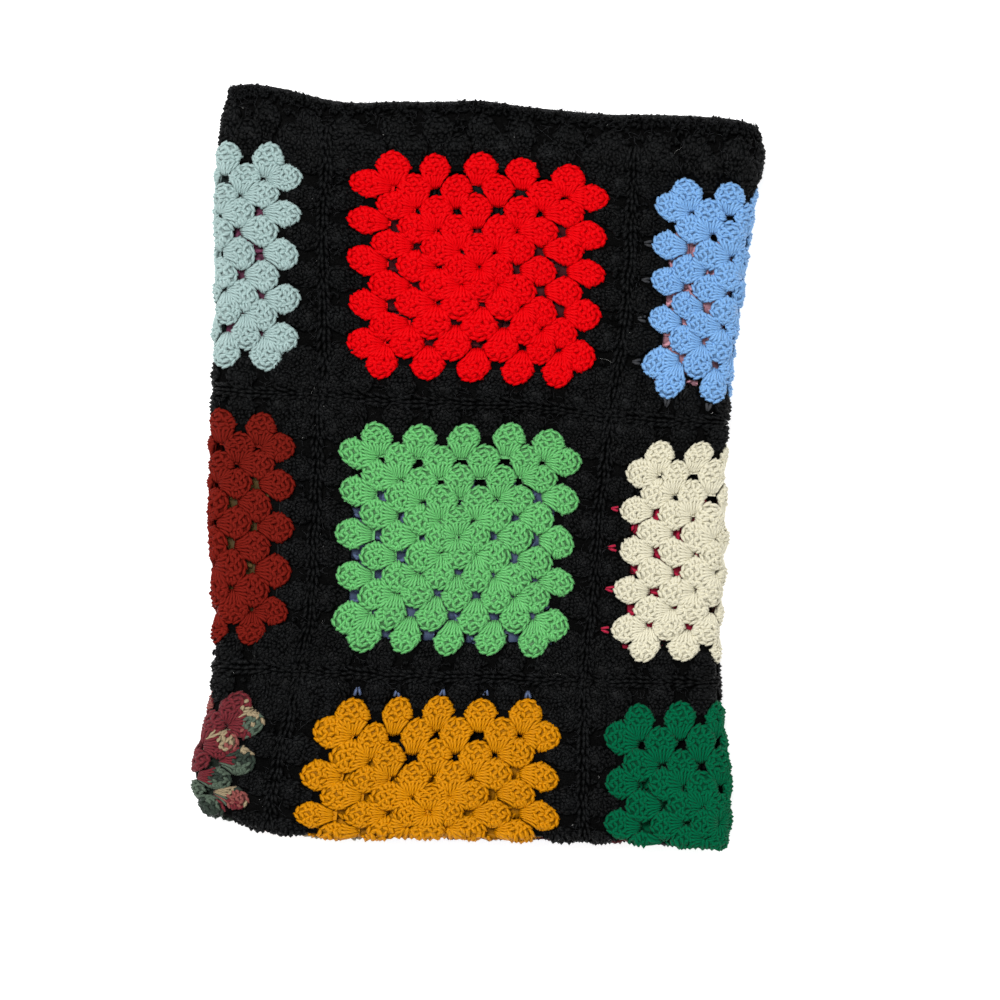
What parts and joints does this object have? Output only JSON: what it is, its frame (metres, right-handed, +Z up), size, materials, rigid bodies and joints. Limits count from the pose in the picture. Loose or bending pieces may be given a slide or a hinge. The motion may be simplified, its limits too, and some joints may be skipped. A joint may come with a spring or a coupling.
{
  "type": "folded granny square blanket",
  "caption": "Crocheted throw of multicoloured granny squares joined and edged in black, folded in half and then in thirds, lying flat.",
  "frame": {"origin": "centre of the bounding box, on the surface the folded blanket lies on", "axes": "+Y towards the blanket's own edges, along its length; +X across it, to the right as the picture shows it; +Z up"},
  "size_m": [0.327, 0.4378, 0.0296],
  "materials": {
    "yarn": "matt, slightly fuzzy crocheted yarn"
  },
  "bodies": {
    "root": {"blanket": "yarn"}
  },
  "joints": []
}
